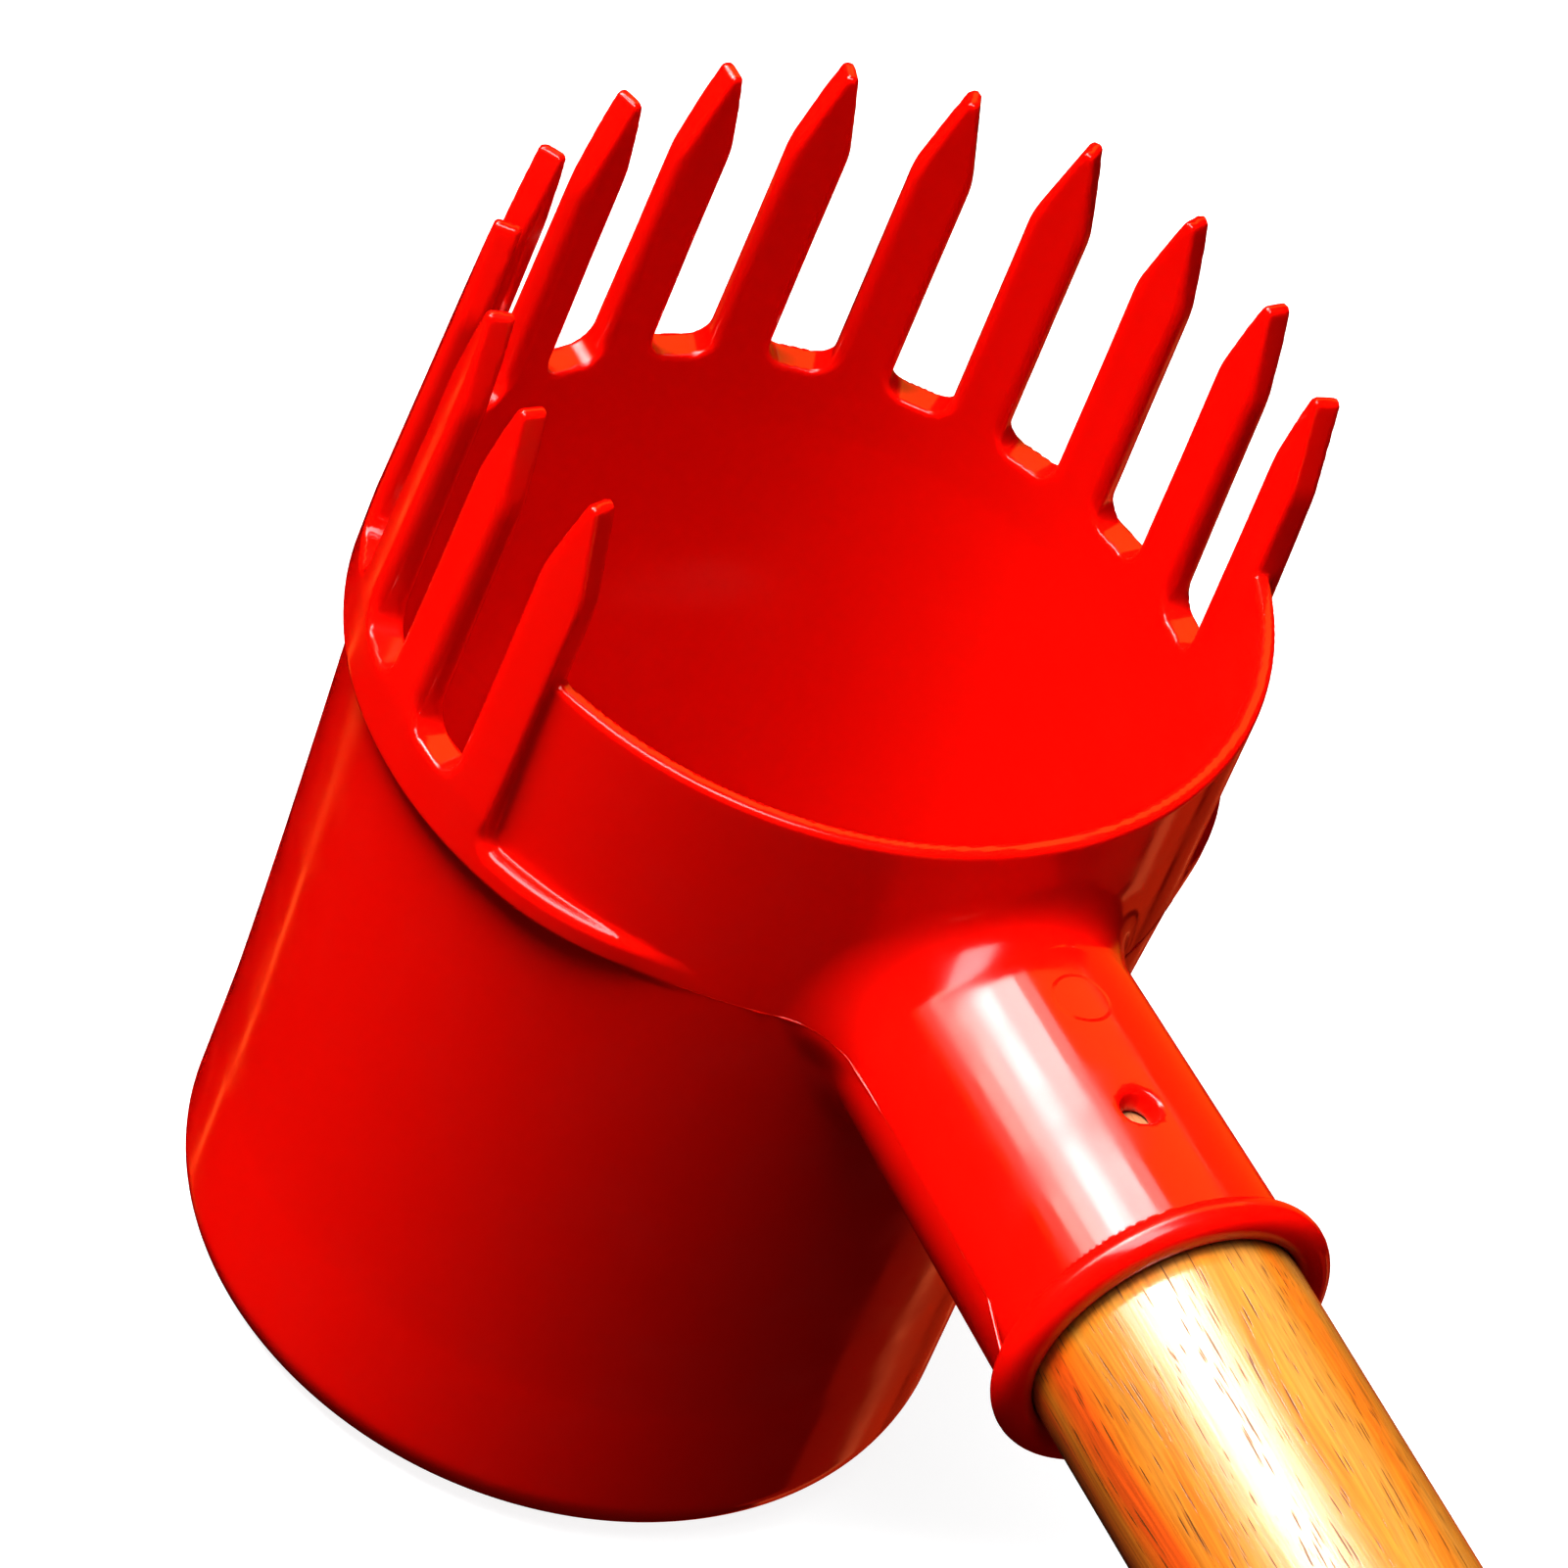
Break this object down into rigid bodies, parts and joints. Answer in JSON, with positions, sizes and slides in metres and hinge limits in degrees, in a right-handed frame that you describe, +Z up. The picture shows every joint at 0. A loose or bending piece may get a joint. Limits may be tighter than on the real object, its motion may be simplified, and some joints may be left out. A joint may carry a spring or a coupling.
{
  "type": "berry picking rake",
  "caption": "Toothed round picking cup of moulded plastic with a side socket, pushed on a round wooden pole; its teeth comb soft fruit off the stems into the cup.",
  "frame": {"origin": "middle of the cup's flat underside", "axes": "+Z up the cup's axis and out of its mouth, +X from the cup's axis along the pole, so the XZ plane is the mirror plane"},
  "size_m": [0.4911, 0.089, 0.1267],
  "materials": {
    "red_plastic": "glossy, straight from a polished mould",
    "pole_wood": "turned hardwood under clear gloss varnish"
  },
  "bodies": {
    "head": {"cup": "red_plastic", "rim_band": "red_plastic", "smooth_wall": "red_plastic", "tooth_01": "red_plastic", "tooth_02": "red_plastic", "tooth_03": "red_plastic", "tooth_04": "red_plastic", "tooth_05": "red_plastic", "tooth_06": "red_plastic", "tooth_07": "red_plastic", "tooth_08": "red_plastic", "tooth_09": "red_plastic", "tooth_10": "red_plastic", "tooth_11": "red_plastic", "tooth_12": "red_plastic", "tooth_13": "red_plastic", "socket": "red_plastic"},
    "pole": {"pole": "pole_wood"}
  },
  "joints": [
    {"name": "pole_pull", "type": "slide", "parent": "head", "child": "pole", "axis": [1, 0, 0], "range_m": [0, 0.04]}
  ]
}
